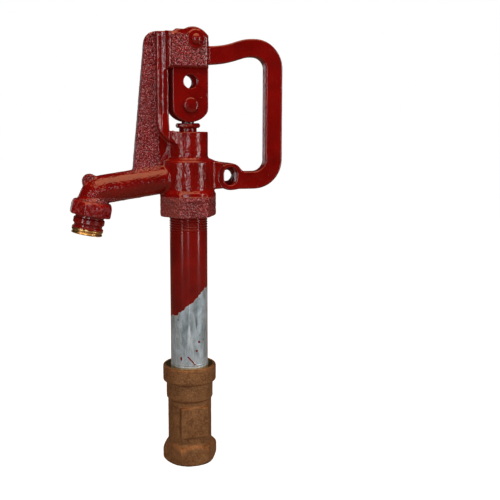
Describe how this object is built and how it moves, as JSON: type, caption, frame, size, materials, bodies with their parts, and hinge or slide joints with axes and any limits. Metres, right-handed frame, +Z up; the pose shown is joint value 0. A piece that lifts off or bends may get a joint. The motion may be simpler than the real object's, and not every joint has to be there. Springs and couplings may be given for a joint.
{
  "type": "lever yard hydrant",
  "caption": "Red lever-operated frost-proof yard hydrant: cast head with hose spout and lockable loop handle, link and rod, riser pipe and bronze foot valve.",
  "frame": {"origin": "centre of the inlet mouth, on the bottom face of the valve body", "axes": "+Z up along the pipe, +X towards the handle, -X towards the spout"},
  "size_m": [0.189, 0.0508, 0.3885],
  "materials": {
    "red_casting": "gloss red enamel over rough sand casting",
    "red_enamel": "smooth gloss red enamel",
    "galvanised": "galvanised, painted red near the head",
    "bronze": "rough sand-cast bronze",
    "brass": "machined",
    "steel": "plain",
    "packing": "graphited",
    "rubber": "matte",
    "nylon": "natural"
  },
  "bodies": {
    "hydrant": {"head_casting": "red_casting", "hose_nozzle": "brass", "packing_nut": "red_enamel", "packing_washer": "brass", "packing_rings": "packing", "pivot_pin": "red_enamel", "pivot_clip": "steel", "riser_pipe": "galvanised", "valve_body": "bronze", "valve_seat": "brass"},
    "rod": {"lift_rod": "steel", "rod_eye": "red_enamel", "rod_guide": "nylon", "plunger_nut": "brass", "plunger_body": "bronze", "drain_seal": "rubber", "plunger_seal": "rubber", "seal_washer": "brass", "seal_screw": "steel"},
    "link": {"link_front": "red_enamel", "link_rear": "red_enamel", "link_pin": "red_enamel", "link_pin_clip": "steel", "lift_pin": "steel"},
    "lever": {"handle": "red_enamel", "pivot_spacers": "steel"}
  },
  "joints": [
    {"name": "handle_pivot", "type": "hinge", "parent": "hydrant", "child": "lever", "pos_m": [0.0035, 0, 0.377], "axis": [0, -1, 0], "range_deg": [0, 90]},
    {"name": "rod_lift", "type": "slide", "parent": "hydrant", "child": "rod", "axis": [0, 0, 1], "range_m": [0, 0.0176]},
    {"name": "link_swing", "type": "hinge", "parent": "rod", "child": "link", "pos_m": [0, 0, 0.322], "axis": [0, 1, 0], "range_deg": [0, 3.75]}
  ],
  "couplings": [
    {"joint": "rod_lift", "follows": "handle_pivot", "m_per_rad": 0.011141},
    {"joint": "link_swing", "follows": "handle_pivot", "ratio": 0.041111}
  ]
}
